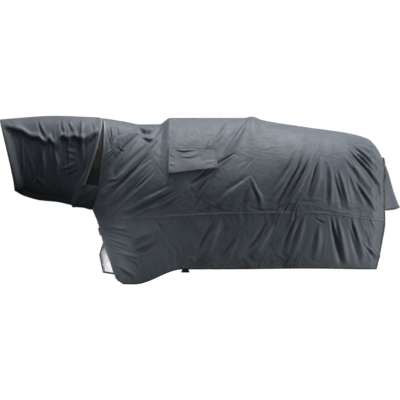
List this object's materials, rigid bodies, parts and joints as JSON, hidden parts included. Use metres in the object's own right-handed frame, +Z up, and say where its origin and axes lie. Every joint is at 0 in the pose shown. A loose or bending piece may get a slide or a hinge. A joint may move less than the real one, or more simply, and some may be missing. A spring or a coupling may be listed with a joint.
{
  "type": "horse rain sheet with neck cover",
  "caption": "Waterproof riding sheet for a horse, with a neck cover, flaps over the stirrup slots and a tail flap.",
  "frame": {"origin": "on the flat underside of the spine tape, where the sheet rests on the top of the saddle, midway between its sides", "axes": "+X along the horse towards its tail, -Y is the horse's near (left) side, +Z is up"},
  "size_m": [2.2737, 0.6612, 0.9514],
  "materials": {
    "shell": "coated nylon, soft sheen",
    "binding": "matt ribbed binding tape",
    "webbing": "woven webbing",
    "hook_loop": "hook-and-loop pile",
    "steel": "satin plated",
    "plastic": "moulded, matt"
  },
  "bodies": {
    "sheet": {"upper_panel_left": "shell", "upper_panel_right": "shell", "skirt_panel_left": "shell", "skirt_panel_right": "shell", "spine_tape": "webbing", "waist_tape_left": "webbing", "waist_tape_right": "webbing", "hem_binding_left": "binding", "hem_binding_right": "binding", "front_binding_left": "binding", "front_binding_right": "binding", "rear_binding_left": "binding", "rear_binding_right": "binding", "collar_binding_left": "binding", "collar_binding_right": "binding", "collar_band_left": "hook_loop", "collar_band_right": "hook_loop", "throat_gusset": "shell", "slot_facing_left": "webbing", "slot_facing_right": "webbing", "chest_underlap": "shell", "chest_loop_patch": "hook_loop", "belly_tab_left": "webbing", "belly_tab_right": "webbing", "belly_ring": "steel", "belly_eye": "steel"},
    "neck_cover": {"mouth_panel_left": "shell", "mouth_panel_right": "shell", "neck_panel_left": "shell", "neck_panel_right": "shell", "mouth_binding_left": "binding", "mouth_binding_right": "binding", "neck_hem_binding_left": "binding", "neck_hem_binding_right": "binding", "crest_tape": "webbing", "throat_tape": "webbing"},
    "near_stirrup_flap": {"stirrup_flap_left": "shell", "flap_binding_left": "binding"},
    "far_stirrup_flap": {"stirrup_flap_right": "shell", "flap_binding_right": "binding"},
    "tail_cover": {"tail_flap": "shell", "tail_flap_binding": "binding"},
    "chest_fastener": {"chest_tab": "webbing", "chest_hook_patch": "hook_loop"},
    "belly_surcingle": {"belly_strap": "webbing", "belly_hook": "steel", "belly_slide": "plastic"}
  },
  "joints": [
    {"name": "neck_lift", "type": "hinge", "parent": "sheet", "child": "neck_cover", "pos_m": [-0.561, 0, 0.011], "axis": [0, 1, 0], "range_deg": [0, 60]},
    {"name": "near_flap_lift", "type": "hinge", "parent": "sheet", "child": "near_stirrup_flap", "pos_m": [-0.042, -0.2374, -0.168], "axis": [-1, 0, 0], "range_deg": [0, 150]},
    {"name": "far_flap_lift", "type": "hinge", "parent": "sheet", "child": "far_stirrup_flap", "pos_m": [-0.042, 0.2374, -0.168], "axis": [1, 0, 0], "range_deg": [0, 150]},
    {"name": "tail_lift", "type": "hinge", "parent": "sheet", "child": "tail_cover", "pos_m": [1.0475, 0, -0.222], "axis": [0, -1, 0], "range_deg": [0, 100]},
    {"name": "chest_tab_peel", "type": "hinge", "parent": "sheet", "child": "chest_fastener", "pos_m": [-0.5714, -0.062, -0.64], "axis": [-0.2359, 0, 0.9718], "range_deg": [0, 120]},
    {"name": "belly_strap_swing", "type": "hinge", "parent": "sheet", "child": "belly_surcingle", "pos_m": [-0.083, 0.29, -0.838], "axis": [1, 0, 0], "range_deg": [0, 80]}
  ]
}
